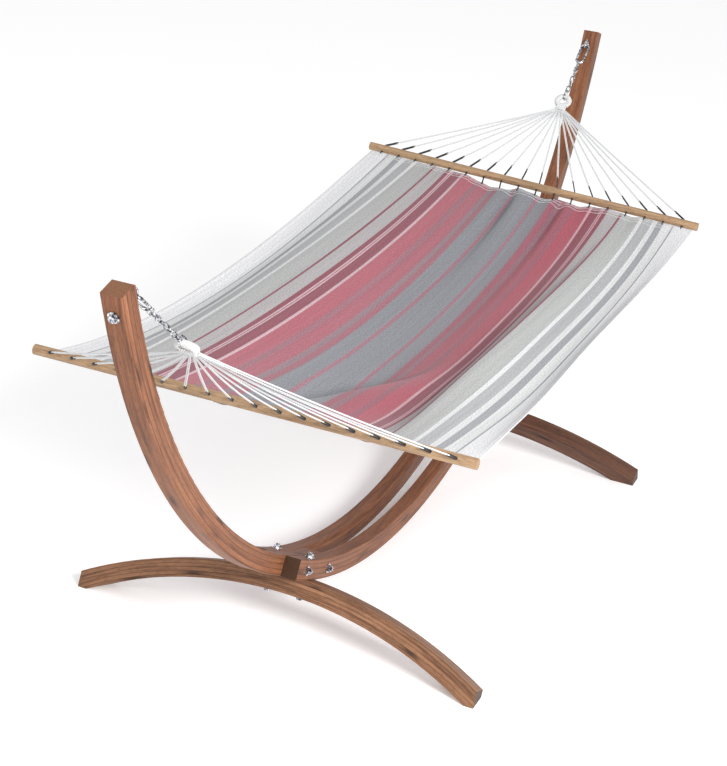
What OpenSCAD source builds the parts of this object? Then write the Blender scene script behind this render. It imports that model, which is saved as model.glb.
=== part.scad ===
// Hammock on an arched wooden stand.
// Origin: centre of the stand on the ground. +X runs from the near end to the far end,
// +Y is the left side seen from the near end, +Z is up. Lengths are millimetres.
// The near end is modelled at -X; the far end is its mirror image with its own chain,
// pull angle, bar position and bar roll.

/* [Stand] */
// Radius of the lower face of the arch
arc_r = 1773; // [1750:1:1790]
// Height of the arch's lowest point above the ground
ground_gap = 27; // [22:1:31]
// Depth of posts and centre beams, measured along the radius
beam_depth = 58; // [52:1:64]
// Width of each post across the stand
post_w = 53; // [48:1:58]
// Width of each centre beam across the stand
beam_w = 46; // [42:1:50]
// Angle from straight down to the centre beams' end faces
beam_end = 27.3; // [27:0.1:28]
// Angle from straight down to the posts' lower ends
post_foot = 18.7; // [18:0.1:18.9]
// Angle from straight down to the posts' tops
post_top = 73.05; // [72.8:0.05:74]
// Radius of the rounded long edges of the beams and posts
edge_r = 4; // [2:0.5:6]
// Size of the eased inner corner at each post's top
top_ease = 9; // [4:1:12]

/* [Feet] */
// Angle from straight down to the feet's middle plane
foot_angle = 23.3; // [23:0.1:23.5]
// Thickness of each foot along the beams
foot_t = 59; // [54:1:62]
// Height of each foot's section
foot_h = 53; // [50:1:56]
// Radius of each foot's lower arc
foot_arc_r = 1180; // [1170:1:1190]
// Full width of each foot
foot_w = 1200; // [1190:1:1210]
// Depth of the flat seat cut into each foot's crest
foot_seat = 2; // [1:0.5:3]

/* [Fasteners] */
// Diameter of the through bolts and eye bolts
bolt_d = 10; // [8:0.5:10]
// Diameter of the washers
washer_d = 28; // [24:1:29]
// Thickness of the washers
washer_t = 2.5; // [2:0.5:3]
// Width of the hexagons across their corners
hex_d = 19.6; // [18:0.2:20]
// Height of the nuts
nut_h = 8; // [7:0.5:9]
// Angles from straight down to the two cross bolts of a joint
cross_bolt_angles = [20, 25.2];

/* [Eye bolts] */
// Angle from straight down to each eye bolt
eye_angle = 71.3; // [71:0.1:71.5]
// Wire diameter of the eye
eye_wire = 8; // [7:0.5:8]
// Radius of the eye's centre line
eye_r = 14; // [14:0.5:15]
// Distance from the post's inner face to the eye's centre
eye_out = 22; // [20:1:26]

/* [Hooks and chains] */
// Wire diameter of the snap hooks
hook_wire = 8; // [7:0.5:8]
// Length of a snap hook between the centres of its end wires
hook_len = 82; // [78:1:90]
// Centre line radius of a hook's round ends
hook_r = 13; // [12.5:0.5:14]
// Wire diameter of the chain links
chain_wire = 4; // [3.5:0.5:4]
// Inner length of a chain link
chain_pitch = 23.5; // [22:0.5:26]
// Inner width of a chain link
chain_inner = 8.4; // [8.4:0.1:9]
// Number of links in the near and far chains
chain_links = [8, 6];
// Wire diameter of the connector links
link_wire = 5; // [4:0.5:5]
// Centre line length of a connector link
link_len = 39; // [38:0.5:42]
// Centre line width of a connector link
link_w = 26; // [25:0.5:28]

/* [Rings and cords] */
// Centre line radius of the wrapped rings
ring_r = 21; // [20:0.5:22]
// Thickness of the wrapped rings
ring_tube = 19; // [17:0.5:19]
// Distance from a ring's centre to the flat end of its cord neck
neck_len = 44; // [42:1:50]
// Width of a cord neck's flat end
neck_w = 56; // [54:1:60]
// Thickness of a cord neck
neck_t = 10; // [8:1:12]
// Diameter of the suspension cords
cord_d = 2.6; // [2:0.1:2.6]
// Number of suspension cords at each end
cord_count = 18; // [16:2:18]
// Strand diameter of the black loops
loop_d = 3; // [2.5:0.5:3]
// Distance between the two strands of a loop
loop_gap = 5; // [4:0.5:5]
// Length of a loop outside the bar, on the ring side
loop_out = 45; // [35:1:55]
// Length of a loop past the bar, on the cloth side
loop_in = 15; // [14:1:18]

/* [Spreader bars] */
// Diameter of the spreader bars
bar_d = 28; // [26:1:30]
// Length of the spreader bars
bar_l = 1208; // [1200:1:1209]
// Distance between neighbouring holes in a bar
hole_pitch = 65; // [60:0.5:66]
// Diameter of the holes in a bar
hole_d = 9; // [8.5:0.5:10]
// Slope of the holes below level
hole_tilt = 30; // [20:1:39]
// Slope of the near and far suspension below level
pull = [38.7, 39.7];
// Distance from the eye to the near and far bars
bar_reach = [727, 645];
// Sideways tilt of the near and far bars
bar_roll = [0, 2.64];

/* [Cloth] */
// Width of the cloth
cloth_w = 1180; // [1140:1:1190]
// Thickness of the cloth
cloth_t = 2; // [1.5:0.5:3]
// Depth of the cloth's sag against its own shape
sag_scale = 1; // [0.8:0.05:1.1]
// Distance from a bar's centre to the cloth's hem
hem_reach = 22; // [18:1:24]

/* [Hidden] */
NEAR = 0;
FAR = 1;
// Sag of the cloth from its right edge to its left edge: at four fifths of full arch,
// its lean towards the far end, and its change with the arch
sag_mid = [84, 129, 96, 129, 162, 176, 167, 125, 79, 48, 29, 66, 72];
sag_lean = [13, 30, 20, -20, -20, -21, -18, -9, -4, -11, -21, -33, -51];
sag_flat = [59, 33, -14, -68, -77, -63, -49, -37, -31, -35, -43, -45, -37];
// Sideways move of the cloth at the middle of the span, from right to left
side_pull = [49, 30, 19, 10, 3, 1, 0, -10, -21, -28, -31, -39, -41];
centre_z = arc_r + ground_gap;
inner_r = arc_r - beam_depth;
mid_r = arc_r - beam_depth / 2;
beam_y = post_w / 2 + beam_w / 2;
side_y = post_w / 2 + beam_w;
bolt_hole_d = bolt_d + 0.5;
nut_hole_d = bolt_d + 0.1;
bolt_tail = 4;
head_h = 7;
dome_h = 5;
dome_d = 2 * bolt_d;
// Lift of a flat washer over the hollow face of a beam
seat_gap = 0.06;
foot_under = foot_h - foot_seat;
spot_d = washer_d + 2;
spot_z = -foot_under - 0.4;
eye_hole_r = eye_r - eye_wire / 2;
play = 0.2;
hook_top_t = eye_hole_r - hook_wire / 2 - 0.5;
hook_end_t = hook_top_t + hook_len;
hook_side_t = hook_top_t + hook_r;
chain_r = (chain_inner + chain_wire) / 2;
chain_len = chain_pitch + chain_wire;
chain_step = chain_pitch - play;
chain_t = hook_end_t - hook_wire / 2 - chain_wire / 2 - play;
gate_d = 7;
gate_slot = 3.4;
tongue_t = 3;
pin_d = 2.5;
pin_len = gate_d + 1.2;
// Distances along the gate's side from where it meets the upper round end
gate_line = hook_len - 2 * hook_r;
gate_nose = 0.5;
gate_pin_at = gate_line - 4.4;
gate_tail = 3.4;
loop_steps = 6;
loop_sides = 8;
cloth_nx = 20;
cloth_ny = 12;

function unit(v) = v / norm(v);
function mix(a, b, k) = a + (b - a) * k;

// A point on the arch, angle a from straight down, positive towards +X
function on_arc(r, a) = [r * sin(a), 0, centre_z - r * cos(a)];

// Suspension geometry, all for an end drawn on the near side
function eye_pos() = on_arc(inner_r - eye_out, -eye_angle);
function pull_dir(e) = [cos(pull[e]), 0, -sin(pull[e])];
function pull_up(e) = [sin(pull[e]), 0, cos(pull[e])];
function hole_dir() = [cos(hole_tilt), 0, -sin(hole_tilt)];
function hole_up() = [sin(hole_tilt), 0, cos(hole_tilt)];
function chain_end(e) = chain_t + (chain_links[e] - 1) * chain_step + chain_len;
function link_t(e) = chain_end(e) - chain_wire / 2 - link_wire / 2 - play;
function ring_t(e) = link_t(e) + link_len - link_wire / 2 - play - ring_tube / 2 + ring_r;
function face_t(e) = ring_t(e) + neck_len;
function bar_pos(e) = eye_pos() + bar_reach[e] * pull_dir(e);
function bar_dir(e) = [0, cos(bar_roll[e]), sin(bar_roll[e])];
function hole_y(i) = (i - (cord_count - 1) / 2) * hole_pitch;
function hole_pos(e, i) = bar_pos(e) + hole_y(i) * bar_dir(e);
function mouth(e, i) = hole_pos(e, i) - (bar_d / 2 + 3) * hole_dir();
function face_y(i) = (i - (cord_count - 1) / 2) * (neck_w - 6) / (cord_count - 1);
function layer(i) = (i % 2 == 0 ? 1 : -1) * cord_d * 0.62;
function face_pos(e, i) =
    eye_pos() + face_t(e) * pull_dir(e) + [0, face_y(i), 0] + layer(i) * pull_up(e);
function fan_dir(e, i) = unit(mouth(e, i) - face_pos(e, i));
function loop_top(e, i) = mouth(e, i) - loop_out * fan_dir(e, i);
function square_to(v, d) = unit(v - (v * d) * d);

module at_end(e) {
    if (e == FAR) mirror([1, 0, 0]) children();
    else children();
}

// Local Z points at the arch's centre, local X along the arch
module at_arc(r, a) {
    translate(on_arc(r, a)) rotate([0, -a, 0]) children();
}

// Local X runs from the eye's centre down the suspension, local Y is +Y
module hang(e) {
    at_end(e) translate(eye_pos()) rotate([0, pull[e], 0]) children();
}

// A straight round rod between two points
module rod(p, q, d) {
    v = q - p;
    tilt = acos(v[2] / norm(v));
    turn = atan2(v[1], v[0]);
    translate(p) rotate([0, tilt, turn]) cylinder(h = norm(v), d = d, $fn = 24);
}

// A half ring in the plane of x_dir and y_dir that bulges along y_dir
module half_ring(p, x_dir, y_dir, r, d) {
    z_dir = cross(x_dir, y_dir);
    multmatrix([
        [x_dir[0], y_dir[0], z_dir[0], p[0]],
        [x_dir[1], y_dir[1], z_dir[1], p[1]],
        [x_dir[2], y_dir[2], z_dir[2], p[2]],
        [0, 0, 0, 1]
    ])
        rotate_extrude(angle = 180, $fn = 48) translate([r, 0]) circle(d = d, $fn = 24);
}

// A closed wire link in the XY plane from x = 0 to x = len, centre line width w
module wire_link(len, w, d) {
    half_ring([w / 2, 0, 0], [0, 1, 0], [-1, 0, 0], w / 2, d);
    half_ring([len - w / 2, 0, 0], [0, 1, 0], [1, 0, 0], w / 2, d);
    for (s = [-1, 1]) rod([w / 2, s * w / 2, 0], [len - w / 2, s * w / 2, 0], d);
}

module eased_rect(a, b, r) {
    translate([r, 0]) square([a - 2 * r, b]);
    translate([0, r]) square([a, b - 2 * r]);
    for (x = [r, a - r]) for (y = [r, b - r]) translate([x, y]) circle(r = r, $fn = 32);
}

// A curved timber along the arch between two angles
module arc_timber(from, to, w) {
    translate([0, 0, centre_z]) rotate([90, 0, 0]) rotate([0, 0, from - 90])
        rotate_extrude(angle = to - from, $fn = 360)
            translate([inner_r, -w / 2]) eased_rect(beam_depth, w, edge_r);
}

module cross_holes(len) {
    for (a = cross_bolt_angles)
        at_arc(mid_r, -a) rotate([90, 0, 0])
            cylinder(h = len, d = bolt_hole_d, center = true, $fn = 48);
}

module foot_bolt_holes() {
    for (s = [-1, 1])
        at_arc(arc_r, -foot_angle) translate([0, s * beam_y, -foot_h - 10])
            cylinder(h = foot_h + beam_depth + 20, d = bolt_hole_d, $fn = 48);
}

module post(e) {
    at_end(e) difference() {
        arc_timber(-post_top, -post_foot, post_w);
        cross_holes(post_w + 4);
        at_arc(mid_r, -eye_angle)
            cylinder(h = beam_depth + 10, d = bolt_hole_d, center = true, $fn = 48);
        at_arc(inner_r, -post_top) rotate([0, 45, 0])
            cube([top_ease, post_w + 4, top_ease], center = true);
    }
}

module centre_beam(s) {
    difference() {
        translate([0, s * beam_y, 0]) arc_timber(-beam_end, beam_end, beam_w);
        for (e = [NEAR, FAR]) at_end(e) {
            cross_holes(2 * side_y + 4);
            foot_bolt_holes();
        }
    }
}

module foot_blank() {
    intersection() {
        translate([0, 0, -foot_under - foot_arc_r]) rotate([0, 90, 0]) difference() {
            cylinder(h = foot_t, r = foot_arc_r + foot_h, center = true, $fn = 360);
            cylinder(h = foot_t + 2, r = foot_arc_r, center = true, $fn = 360);
        }
        translate([-foot_t / 2 - 1, -foot_w / 2, -300]) cube([foot_t + 2, foot_w, 300]);
    }
}

module foot(e) {
    at_end(e) difference() {
        at_arc(arc_r, -foot_angle) foot_blank();
        translate([-arc_r, -foot_w / 2 - 1, -400]) cube([arc_r, foot_w + 2, 400]);
        foot_bolt_holes();
        for (s = [-1, 1])
            at_arc(arc_r, -foot_angle) translate([0, s * beam_y, spot_z - 20])
                cylinder(h = 20, d = spot_d, $fn = 64);
    }
}

module washer() {
    difference() {
        cylinder(h = washer_t, d = washer_d, $fn = 64);
        translate([0, 0, -1]) cylinder(h = washer_t + 2, d = bolt_hole_d, $fn = 48);
    }
}

module nut() {
    difference() {
        cylinder(h = nut_h, d = hex_d, $fn = 6);
        translate([0, 0, -1]) cylinder(h = nut_h + 2, d = nut_hole_d, $fn = 48);
    }
}

// Frame of one cross bolt: local Z points out of the right-hand beam's outer face
module cross_places(e) {
    for (a = cross_bolt_angles)
        at_end(e) at_arc(mid_r, -a) translate([0, -side_y, 0]) rotate([90, 0, 0]) children();
}

module joint_bolts(e) {
    tail = washer_t + nut_h + bolt_tail;
    cross_places(e) {
        translate([0, 0, -2 * side_y]) cylinder(h = 2 * side_y + tail, d = bolt_d, $fn = 48);
        translate([0, 0, -2 * side_y - dome_h])
            cylinder(h = dome_h, d1 = dome_d * 0.6, d2 = dome_d, $fn = 48);
    }
}

module joint_washers(e) {
    cross_places(e) washer();
}

module joint_nuts(e) {
    cross_places(e) translate([0, 0, washer_t]) nut();
}

// Frame of one foot bolt: local Z up along the bolt, zero on the foot's seat
module foot_places(e) {
    for (s = [-1, 1])
        at_end(e) at_arc(arc_r, -foot_angle) translate([0, s * beam_y, 0]) children();
}

module foot_bolts(e) {
    low = spot_z - washer_t;
    top = beam_depth + seat_gap + washer_t + nut_h + bolt_tail;
    foot_places(e) {
        translate([0, 0, low]) cylinder(h = top - low, d = bolt_d, $fn = 48);
        translate([0, 0, low - head_h]) cylinder(h = head_h, d = hex_d, $fn = 6);
    }
}

module foot_washers(e) {
    foot_places(e) {
        translate([0, 0, beam_depth + seat_gap]) washer();
        translate([0, 0, spot_z - washer_t]) washer();
    }
}

module foot_nuts(e) {
    foot_places(e) translate([0, 0, beam_depth + seat_gap + washer_t]) nut();
}

module eye_bolt(e) {
    tail = washer_t + nut_h + bolt_tail;
    at_end(e) at_arc(arc_r, -eye_angle) {
        translate([0, 0, -tail])
            cylinder(h = tail + beam_depth + eye_out - eye_r, d = bolt_d, $fn = 48);
        translate([0, 0, beam_depth + eye_out]) rotate([90, 0, 0])
            rotate_extrude($fn = 64) translate([eye_r, 0]) circle(d = eye_wire, $fn = 32);
    }
}

module eye_washer(e) {
    at_end(e) at_arc(arc_r, -eye_angle) translate([0, 0, -washer_t]) washer();
}

module eye_nut(e) {
    at_end(e) at_arc(arc_r, -eye_angle) translate([0, 0, -washer_t - nut_h]) nut();
}

// Frame of a hook's gate side: zero where it meets the upper round end
module gate_side() {
    translate([hook_side_t, -hook_r, 0]) children();
}

module snap_hook(e) {
    hang(e) {
        half_ring([hook_side_t, 0, 0], [0, 1, 0], [-1, 0, 0], hook_r, hook_wire);
        half_ring([hook_side_t + gate_line, 0, 0], [0, 1, 0], [1, 0, 0], hook_r, hook_wire);
        rod([hook_side_t, hook_r, 0], [hook_side_t + gate_line, hook_r, 0], hook_wire);
        gate_side() difference() {
            translate([gate_pin_at - 2.4, -2.4, -tongue_t / 2])
                cube([gate_line - gate_pin_at + 4.4, 4.8, tongue_t]);
            translate([gate_pin_at, 0, 0])
                cylinder(h = tongue_t + 2, d = pin_d + 0.04, center = true, $fn = 32);
        }
    }
}

module hook_gate(e) {
    hang(e) gate_side() difference() {
        translate([gate_nose, 0, 0]) rotate([0, 90, 0])
            cylinder(h = gate_pin_at + gate_tail - gate_nose, d = gate_d, $fn = 32);
        translate([gate_pin_at - 4, -gate_d, -gate_slot / 2])
            cube([20, 2 * gate_d, gate_slot]);
        translate([gate_pin_at, 0, 0])
            cylinder(h = gate_d + 2, d = pin_d + 0.1, center = true, $fn = 32);
    }
}

module gate_pin(e) {
    hang(e) gate_side() translate([gate_pin_at, 0, 0])
        cylinder(h = pin_len, d = pin_d, center = true, $fn = 32);
}

// Links alternate between upright and flat; the first stands upright in the hook
module chain(e) {
    for (i = [0 : chain_links[e] - 1])
        hang(e) translate([chain_t + i * chain_step, 0, 0]) rotate([i % 2 == 0 ? 90 : 0, 0, 0])
            wire_link(chain_len, chain_inner + chain_wire, chain_wire);
}

module connector_link(e) {
    hang(e) translate([link_t(e), 0, 0]) rotate([90, 0, 0])
        wire_link(link_len, link_w, link_wire);
}

module ring(e) {
    hang(e) translate([ring_t(e), 0, 0])
        rotate_extrude($fn = 96) translate([ring_r, 0]) circle(d = ring_tube, $fn = 48);
}

// The bound cords below the ring, hollowed on top to sit on the ring
module cord_neck(e) {
    hang(e) difference() {
        translate([ring_t(e), 0, -neck_t / 2]) linear_extrude(neck_t)
            polygon([
                [ring_r, -14], [neck_len - 8, -neck_w / 2], [neck_len, -neck_w / 2],
                [neck_len, neck_w / 2], [neck_len - 8, neck_w / 2], [ring_r, 14]
            ]);
        translate([ring_t(e), 0, 0]) cylinder(h = neck_t + 2, r = ring_r, center = true, $fn = 96);
        translate([ring_t(e), 0, 0])
            rotate_extrude($fn = 96) translate([ring_r, 0]) circle(d = ring_tube + 0.1, $fn = 48);
    }
}

module cords(e) {
    difference() {
        at_end(e) for (i = [0 : cord_count - 1])
            rod(
                face_pos(e, i) - 6 * fan_dir(e, i),
                loop_top(e, i) - loop_gap / 2 * fan_dir(e, i),
                cord_d
            );
        hang(e) translate([face_t(e) - 50, -neck_w, -25]) cube([50, 2 * neck_w, 50]);
    }
}

// Closed path of one loop: each entry is a point and the direction square to the loop
function loop_path(e, i) =
    let (
        out = fan_dir(e, i),
        side = square_to(hole_up(), out),
        half = loop_gap / 2,
        top = loop_top(e, i),
        elbow = mouth(e, i),
        tip = hole_pos(e, i) + (bar_d / 2 + loop_in - half - loop_d / 2) * hole_dir(),
        w_out = unit(cross(out, side)),
        w_in = unit(cross(hole_dir(), hole_up())),
        w_mid = unit(w_out + w_in)
    )
    concat(
        [for (k = [0 : loop_steps])
            let (f = 180 * k / loop_steps)
            [top + half * (cos(f) * side - sin(f) * out), w_out]],
        [[elbow - half * hole_up(), w_mid]],
        [for (k = [0 : loop_steps])
            let (f = 180 * k / loop_steps)
            [tip + half * (sin(f) * hole_dir() - cos(f) * hole_up()), w_in]],
        [[elbow + half * hole_up(), w_mid]]
    );

// A closed round tube along a loop's path
module loop(e, i) {
    path = loop_path(e, i);
    n = len(path);
    m = loop_sides;
    points = [
        for (k = [0 : n - 1])
            let (
                w = path[k][1],
                t = unit(path[(k + 1) % n][0] - path[(k + n - 1) % n][0]),
                v = unit(cross(t, w))
            )
            for (a = [0 : m - 1])
                path[k][0] + loop_d / 2 * (cos(360 * a / m) * w + sin(360 * a / m) * v)
    ];
    faces = [
        for (k = [0 : n - 1]) for (a = [0 : m - 1])
            let (p = k * m, q = (k + 1) % n * m, b = (a + 1) % m)
            each [[p + a, q + b, p + b], [p + a, q + a, q + b]]
    ];
    polyhedron(points = points, faces = faces, convexity = 6);
}

module loops(e) {
    at_end(e) for (i = [0 : cord_count - 1]) loop(e, i);
}

module spreader_bar(e) {
    at_end(e) difference() {
        translate(bar_pos(e)) rotate([90 + bar_roll[e], 0, 0])
            cylinder(h = bar_l, d = bar_d, center = true, $fn = 64);
        for (i = [0 : cord_count - 1])
            translate(hole_pos(e, i)) rotate([0, 90 + hole_tilt, 0])
                cylinder(h = bar_d + 10, d = hole_d, center = true, $fn = 48);
    }
}

// Cloth height over the ground at (u, v): u = 0 at the near hem and 1 at the far hem,
// v = -1 at the right edge and 1 at the left edge
function hem_x(e) = (e == NEAR ? 1 : -1) * (bar_pos(e) + hem_reach * hole_dir())[0];
function hem_z(e, y) = (bar_pos(e) + hem_reach * hole_dir())[2] + y * tan(bar_roll[e]);
// Value of a table at v, its first entry at the right edge and its last at the left edge
function across(table, v) =
    let (t = (v + 1) / 2 * (len(table) - 1), i = min(floor(t), len(table) - 2))
    mix(table[i], table[i + 1], t - i);
function cloth_sag(u, v) =
    across(sag_mid, v) + (2 * u - 1) * across(sag_lean, v)
        + (4 * u * (1 - u) - 0.8) * across(sag_flat, v);
function cloth_point(u, v) =
    let (y = v * cloth_w / 2, arch = 4 * u * (1 - u))
    [
        mix(hem_x(NEAR), hem_x(FAR), u),
        y + arch * across(side_pull, v),
        mix(hem_z(NEAR, y), hem_z(FAR, y), u) - arch * sag_scale * cloth_sag(u, v)
    ];
function cloth_index(layer, i, j) =
    layer * (cloth_nx + 1) * (cloth_ny + 1) + i * (cloth_ny + 1) + j;

module cloth() {
    points = [
        for (layer = [0, 1]) for (i = [0 : cloth_nx]) for (j = [0 : cloth_ny])
            cloth_point(i / cloth_nx, 2 * j / cloth_ny - 1)
                + [0, 0, layer == 0 ? cloth_t / 2 : -cloth_t / 2]
    ];
    upper = [
        for (i = [0 : cloth_nx - 1]) for (j = [0 : cloth_ny - 1]) each [
            [cloth_index(0, i, j), cloth_index(0, i, j + 1), cloth_index(0, i + 1, j + 1)],
            [cloth_index(0, i, j), cloth_index(0, i + 1, j + 1), cloth_index(0, i + 1, j)]
        ]
    ];
    lower = [
        for (i = [0 : cloth_nx - 1]) for (j = [0 : cloth_ny - 1]) each [
            [cloth_index(1, i, j), cloth_index(1, i + 1, j + 1), cloth_index(1, i, j + 1)],
            [cloth_index(1, i, j), cloth_index(1, i + 1, j), cloth_index(1, i + 1, j + 1)]
        ]
    ];
    rim = concat(
        [for (i = [0 : cloth_nx - 1]) [i, 0, i + 1, 0]],
        [for (j = [0 : cloth_ny - 1]) [cloth_nx, j, cloth_nx, j + 1]],
        [for (i = [cloth_nx : -1 : 1]) [i, cloth_ny, i - 1, cloth_ny]],
        [for (j = [cloth_ny : -1 : 1]) [0, j, 0, j - 1]]
    );
    sides = [
        for (k = rim) each [
            [cloth_index(0, k[0], k[1]), cloth_index(0, k[2], k[3]), cloth_index(1, k[2], k[3])],
            [cloth_index(0, k[0], k[1]), cloth_index(1, k[2], k[3]), cloth_index(1, k[0], k[1])]
        ]
    ];
    polyhedron(points = points, faces = concat(upper, lower, sides), convexity = 4);
}

wood = [0.55, 0.36, 0.24];
pale_wood = [0.75, 0.6, 0.42];
zinc = [0.7, 0.7, 0.72];
rope = [0.92, 0.91, 0.87];
black = [0.08, 0.08, 0.08];

color(wood) centre_beam(1);  // centre_beam_left
color(wood) centre_beam(-1);  // centre_beam_right
color(wood) post(NEAR);  // near_post
color(wood) post(FAR);  // far_post
color(wood) foot(NEAR);  // near_foot
color(wood) foot(FAR);  // far_foot
color(zinc) joint_bolts(NEAR);  // near_joint_bolts
color(zinc) joint_bolts(FAR);  // far_joint_bolts
color(zinc) joint_washers(NEAR);  // near_joint_washers
color(zinc) joint_washers(FAR);  // far_joint_washers
color(zinc) joint_nuts(NEAR);  // near_joint_nuts
color(zinc) joint_nuts(FAR);  // far_joint_nuts
color(zinc) foot_bolts(NEAR);  // near_foot_bolts
color(zinc) foot_bolts(FAR);  // far_foot_bolts
color(zinc) foot_washers(NEAR);  // near_foot_washers
color(zinc) foot_washers(FAR);  // far_foot_washers
color(zinc) foot_nuts(NEAR);  // near_foot_nuts
color(zinc) foot_nuts(FAR);  // far_foot_nuts
color(zinc) eye_bolt(NEAR);  // near_eye_bolt
color(zinc) eye_bolt(FAR);  // far_eye_bolt
color(zinc) eye_washer(NEAR);  // near_eye_washer
color(zinc) eye_washer(FAR);  // far_eye_washer
color(zinc) eye_nut(NEAR);  // near_eye_nut
color(zinc) eye_nut(FAR);  // far_eye_nut
color(zinc) snap_hook(NEAR);  // near_snap_hook
color(zinc) snap_hook(FAR);  // far_snap_hook
color(zinc) hook_gate(NEAR);  // near_hook_gate
color(zinc) hook_gate(FAR);  // far_hook_gate
color(zinc) gate_pin(NEAR);  // near_gate_pin
color(zinc) gate_pin(FAR);  // far_gate_pin
color(zinc) chain(NEAR);  // near_chain
color(zinc) chain(FAR);  // far_chain
color(zinc) connector_link(NEAR);  // near_connector_link
color(zinc) connector_link(FAR);  // far_connector_link
color(rope) ring(NEAR);  // near_ring
color(rope) ring(FAR);  // far_ring
color(rope) cord_neck(NEAR);  // near_cord_neck
color(rope) cord_neck(FAR);  // far_cord_neck
color(rope) cords(NEAR);  // near_cords
color(rope) cords(FAR);  // far_cords
color(black) loops(NEAR);  // near_loops
color(black) loops(FAR);  // far_loops
color(pale_wood) spreader_bar(NEAR);  // near_spreader_bar
color(pale_wood) spreader_bar(FAR);  // far_spreader_bar
color(rope) cloth();  // fabric_bed
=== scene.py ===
"""Hammock on an arched wooden stand: looks and scene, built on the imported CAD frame.

Lengths are metres. The CAD frame has its origin on the ground below the centre of the stand,
+X from the near end to the far end, +Y to the left seen from the near end, and +Z up.
"""
import math

import bpy
import numpy as np
from mathutils import Matrix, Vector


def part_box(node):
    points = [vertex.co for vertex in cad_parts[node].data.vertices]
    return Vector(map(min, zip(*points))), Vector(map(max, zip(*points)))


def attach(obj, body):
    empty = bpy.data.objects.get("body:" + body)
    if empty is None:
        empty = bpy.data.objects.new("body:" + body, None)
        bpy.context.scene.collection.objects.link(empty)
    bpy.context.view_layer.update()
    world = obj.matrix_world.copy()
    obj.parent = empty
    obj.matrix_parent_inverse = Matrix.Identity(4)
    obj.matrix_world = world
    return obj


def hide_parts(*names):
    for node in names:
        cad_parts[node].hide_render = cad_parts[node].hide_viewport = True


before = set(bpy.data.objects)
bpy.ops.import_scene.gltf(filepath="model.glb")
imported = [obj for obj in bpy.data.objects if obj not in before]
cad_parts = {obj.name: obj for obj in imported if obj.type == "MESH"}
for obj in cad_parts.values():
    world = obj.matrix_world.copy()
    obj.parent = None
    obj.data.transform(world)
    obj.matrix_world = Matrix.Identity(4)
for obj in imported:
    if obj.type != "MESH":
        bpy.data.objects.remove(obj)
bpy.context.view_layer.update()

# ------------------------------------------------------------------ the frame
ENDS = ("near", "far")
SIDE = {"near": -1.0, "far": 1.0}  # sign of X at each end
ACROSS = np.array([0, 1.0, 0])


def mid(name):
    """Middle of a CAD node's box."""
    lo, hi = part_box(name)
    return (np.array(lo) + np.array(hi)) / 2


def size_of(name):
    """Size of a CAD node's box."""
    lo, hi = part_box(name)
    return np.array(hi) - np.array(lo)


def unit(v):
    v = np.asarray(v, float)
    return v / np.linalg.norm(v)


# Sizes as in the CAD source, where the nodes' boxes do not give them
HOLES, PITCH = 18, 0.065  # holes in each bar, and their spacing
HOLE_TILT = math.radians(30)  # the holes slope down towards the cloth
ARCH_C = np.array([0.0, 0.0, 1.800])  # centre of the arch's curve
ARCH_R = 1.773  # its lower face
FOOT_ANGLE = math.radians(23.3)  # a foot's middle plane, from straight down
FOOT_R, FOOT_H, SEAT = 1.180, 0.053, 0.002  # a foot's lower arc, its height and its flat seat
FOOT_C = ARCH_R + FOOT_H - SEAT + FOOT_R  # from the arch's centre to that of the foot's arc
ARCH_MIDDLE, FOOT_MIDDLE = 1.744, 1.206  # radius at about the middle of each timber's depth
RING_R, RING_TUBE = 0.021, 0.0095  # centre line and section of the wrapped rings
NECK, NECK_WIDE = 0.044, 0.050  # where the cords leave the neck, and over what width
STAGGER = 0.0016  # each cord above or below the next at the neck

# Sizes of the cords as they are shown
STRAND = {"near": 0.0017, "far": 0.0016}  # radius of each of a white cord's two strands
LOOP_R, LOOP_HALF = 0.0019, 0.0025  # black cord's radius, and half a loop's width
LOOP_OUT = {"near": 0.020, "far": 0.045}  # how far the loops stand out of the bar
MOUTH_GAP = 0.003  # a loop bends this far outside the bar
TURN = 2 * math.pi


class End:
    """The suspension of one end: ring, pull direction, bar and holes."""

    def __init__(self, name):
        self.name = name
        self.ring = mid(f"{name}_ring")
        self.bar = mid(f"{name}_spreader_bar")
        self.bar_r = size_of(f"{name}_spreader_bar")[0] / 2
        self.pull = unit(self.bar - self.ring)
        self.up = unit(np.cross(self.pull, ACROSS))
        if self.up[2] < 0:
            self.up = -self.up
        # the bar's box gives its roll, by steps
        dy, dz = size_of(f"{name}_spreader_bar")[1:]
        d = 2 * self.bar_r
        roll = 0.0
        for _ in range(20):
            length = (dy - d * math.sin(roll)) / math.cos(roll)
            roll = math.asin(max(0.0, (dz - d * math.cos(roll)) / length))
        self.roll = roll
        self.along = np.array([0, math.cos(roll), math.sin(roll)])
        s = -SIDE[name]
        self.hole = np.array([s * math.cos(HOLE_TILT), 0, -math.sin(HOLE_TILT)])
        self.hole_up = np.array([s * math.sin(HOLE_TILT), 0, math.cos(HOLE_TILT)])

    def hole_pos(self, i):
        return self.bar + (i - (HOLES - 1) / 2) * PITCH * self.along

    def mouth(self, i):
        """Where loop i bends into its hole, on the bar's outer side."""
        return self.hole_pos(i) - (self.bar_r + MOUTH_GAP) * self.hole

    def face(self, i):
        """Where cord i leaves the bound neck."""
        y = (i - (HOLES - 1) / 2) * NECK_WIDE / (HOLES - 1)
        lift = (1 if i % 2 == 0 else -1) * STAGGER
        return self.ring + NECK * self.pull + np.array([0, y, 0]) + lift * self.up

    def fan(self, i):
        """Direction of cord i, from the neck to the bar."""
        return unit(self.mouth(i) - self.face(i))

    def loop_top(self, i):
        """Where cord i meets its black loop."""
        return self.mouth(i) - LOOP_OUT[self.name] * self.fan(i)


END = {n: End(n) for n in ENDS}


# ------------------------------------------------------------- mesh building
def add_object(name, data):
    ob = bpy.data.objects.new(name, data)
    bpy.context.scene.collection.objects.link(ob)
    return ob


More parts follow.
